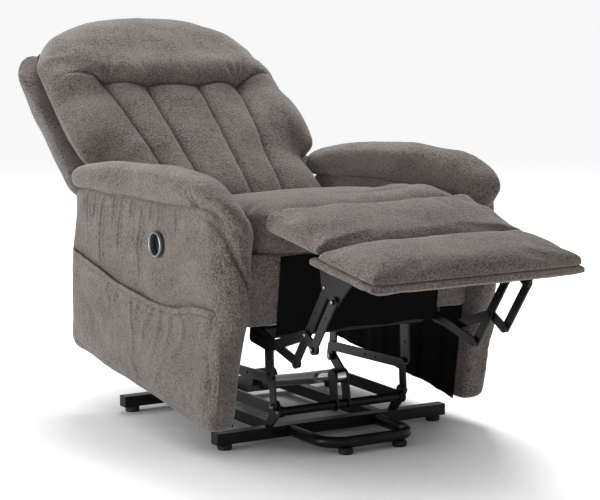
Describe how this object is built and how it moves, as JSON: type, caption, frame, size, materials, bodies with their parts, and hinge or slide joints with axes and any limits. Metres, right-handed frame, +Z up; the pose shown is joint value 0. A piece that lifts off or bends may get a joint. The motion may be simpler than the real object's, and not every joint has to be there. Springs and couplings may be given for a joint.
{
  "type": "lift recliner chair",
  "caption": "Upholstered powered recliner on a steel lift base, shown reclined with its footrest out and the seat part raised, with an arm pocket and push-button panel.",
  "frame": {"origin": "on the floor under the middle of the chair's overall length and width, as it stands reclined", "axes": "+Z up, the sitter faces -Y, the button panel is on the -X arm (the sitter's right)"},
  "size_m": [0.803, 1.7155, 0.9643],
  "materials": {
    "black_steel": "satin black powder coat",
    "link_steel": "satin dark powder coat on flat links",
    "rivet_steel": "bright plated pins and rivets",
    "spring_steel": "plain oiled spring wire",
    "frame_wood": "unfinished hardwood beams, hidden in use",
    "upholstery": "soft taupe chenille with a fine nap",
    "dust_cloth": "thin black dust cloth",
    "strap_web": "woven elastic webbing",
    "black_rubber": "matt black rubber",
    "motor_plastic": "grained black plastic housings",
    "button_plastic": "smooth black push buttons",
    "panel_ring": "plated ring with a black dished centre",
    "actuator_tube": "grey extruded tube",
    "actuator_rod": "bright ground rod"
  },
  "bodies": {
    "base": {"base_front_bar": "black_steel", "base_rear_bar": "black_steel", "base_side_rails": "black_steel", "base_end_caps": "black_rubber", "floor_feet": "black_rubber", "front_stabiliser": "black_steel", "riser_plates": "black_steel", "riser_pins": "rivet_steel", "lift_motor_bracket": "black_steel"},
    "lift_arms": {"lift_arms": "link_steel", "lift_crank_tube": "black_steel", "lift_crank": "link_steel"},
    "upper_links": {"upper_lift_links": "link_steel"},
    "carriage": {"lift_hangers": "link_steel", "hanger_pins": "rivet_steel", "front_posts": "link_steel", "front_cross_tube": "black_steel", "rear_cross_tube": "black_steel", "seat_side_plates": "black_steel", "seat_cross_beams": "frame_wood", "seat_side_beams": "frame_wood", "seat_springs": "spring_steel", "seat_cushion": "upholstery", "front_apron": "upholstery", "front_curtain": "dust_cloth", "right_arm": "upholstery", "left_arm": "upholstery", "right_arm_pad": "upholstery", "left_arm_pad": "upholstery", "side_pocket": "upholstery", "control_panel": "panel_ring", "control_box": "motor_plastic", "power_inlet": "motor_plastic", "back_hinge_plates": "black_steel", "recline_motor_bracket": "black_steel"},
    "up_button": {"up_button": "button_plastic"},
    "down_button": {"down_button": "button_plastic"},
    "recline_motor": {"recline_motor": "motor_plastic", "recline_tube": "actuator_tube"},
    "recline_rod": {"recline_rod": "actuator_rod"},
    "lift_motor": {"lift_motor": "motor_plastic", "lift_tube": "actuator_tube"},
    "lift_rod": {"lift_rod": "actuator_rod"},
    "back": {"back_frame": "black_steel", "back_brackets": "link_steel", "back_straps": "strap_web", "back_lever_plates": "link_steel", "back_cushion": "upholstery", "headrest": "upholstery", "outer_back": "upholstery"},
    "drive_links": {"footrest_torque_tube": "black_steel", "footrest_drive_links": "link_steel"},
    "idler_links": {"footrest_idler_links": "link_steel"},
    "rear_bars": {"footrest_rear_bars": "link_steel"},
    "front_bars": {"footrest_front_bars": "link_steel"},
    "footrest": {"footrest_brackets": "black_steel", "footrest_board": "upholstery", "footrest_cushion": "upholstery", "leg_flap": "upholstery"}
  },
  "joints": [
    {"name": "lift", "type": "hinge", "parent": "base", "child": "lift_arms", "pos_m": [0, -0.278, 0.084], "axis": [1, 0, 0], "range_deg": [-11.3, 27.1]},
    {"name": "carriage_tilt", "type": "hinge", "parent": "lift_arms", "child": "carriage", "pos_m": [0, 0.023, 0.088], "axis": [1, 0, 0], "range_deg": [-9.51, 3.98]},
    {"name": "upper_link_swing", "type": "hinge", "parent": "base", "child": "upper_links", "pos_m": [0, -0.272, 0.097], "axis": [1, 0, 0], "range_deg": [-11, 26.35]},
    {"name": "lift_motor_swing", "type": "hinge", "parent": "base", "child": "lift_motor", "pos_m": [0, 0.205, 0.047], "axis": [1, 0, 0], "range_deg": [-0.31, 0.71]},
    {"name": "lift_rod_travel", "type": "slide", "parent": "lift_motor", "child": "lift_rod", "axis": [0, -0.9761, 0.2171], "range_m": [-0.01351, 0.03213]},
    {"name": "back_recline", "type": "hinge", "parent": "carriage", "child": "back", "pos_m": [0, 0.26419, 0.4678], "axis": [1, 0, 0], "range_deg": [0, 48]},
    {"name": "recline_motor_swing", "type": "hinge", "parent": "carriage", "child": "recline_motor", "pos_m": [0, -0.21674, 0.32703], "axis": [1, 0, 0], "range_deg": [-0.02, 2.13]},
    {"name": "recline_rod_travel", "type": "slide", "parent": "recline_motor", "child": "recline_rod", "axis": [0, 0.9929, 0.119], "range_m": [-0.0002, 0.06219]},
    {"name": "footrest_drive", "type": "hinge", "parent": "carriage", "child": "drive_links", "pos_m": [0, -0.31599, 0.39286], "axis": [1, 0, 0], "range_deg": [0, 86]},
    {"name": "rear_bar_swing", "type": "hinge", "parent": "drive_links", "child": "rear_bars", "pos_m": [0, -0.53661, 0.32101], "axis": [1, 0, 0], "range_deg": [-86.02, 0.02]},
    {"name": "front_bar_swing", "type": "hinge", "parent": "drive_links", "child": "front_bars", "pos_m": [0, -0.58376, 0.29576], "axis": [1, 0, 0], "range_deg": [-86.02, 0.02]},
    {"name": "footrest_swing", "type": "hinge", "parent": "rear_bars", "child": "footrest", "pos_m": [0, -0.62281, 0.44196], "axis": [1, 0, 0], "range_deg": [-0.02, 86.02]},
    {"name": "idler_swing", "type": "hinge", "parent": "carriage", "child": "idler_links", "pos_m": [0, -0.26297, 0.31804], "axis": [1, 0, 0], "range_deg": [-0.02, 86.02]},
    {"name": "up_button_press", "type": "slide", "parent": "carriage", "child": "up_button", "axis": [1, 0, 0], "range_m": [0, 0.0015], "stiffness_N_per_m": 300, "springref_m": -0.001},
    {"name": "down_button_press", "type": "slide", "parent": "carriage", "child": "down_button", "axis": [1, 0, 0], "range_m": [0, 0.0015], "stiffness_N_per_m": 300, "springref_m": -0.001}
  ],
  "couplings": [
    {"joint": "carriage_tilt", "follows": "lift", "ratio": -0.35},
    {"joint": "upper_link_swing", "follows": "lift", "ratio": 0.9717},
    {"joint": "lift_motor_swing", "follows": "lift", "ratio": 0.0255},
    {"joint": "lift_rod_travel", "follows": "lift", "m_per_rad": 0.0675},
    {"joint": "recline_motor_swing", "follows": "back_recline", "ratio": 0.044},
    {"joint": "recline_rod_travel", "follows": "back_recline", "m_per_rad": 0.074},
    {"joint": "rear_bar_swing", "follows": "footrest_drive", "ratio": -1},
    {"joint": "front_bar_swing", "follows": "footrest_drive", "ratio": -1},
    {"joint": "footrest_swing", "follows": "footrest_drive", "ratio": 1},
    {"joint": "idler_swing", "follows": "footrest_drive", "ratio": 1}
  ]
}
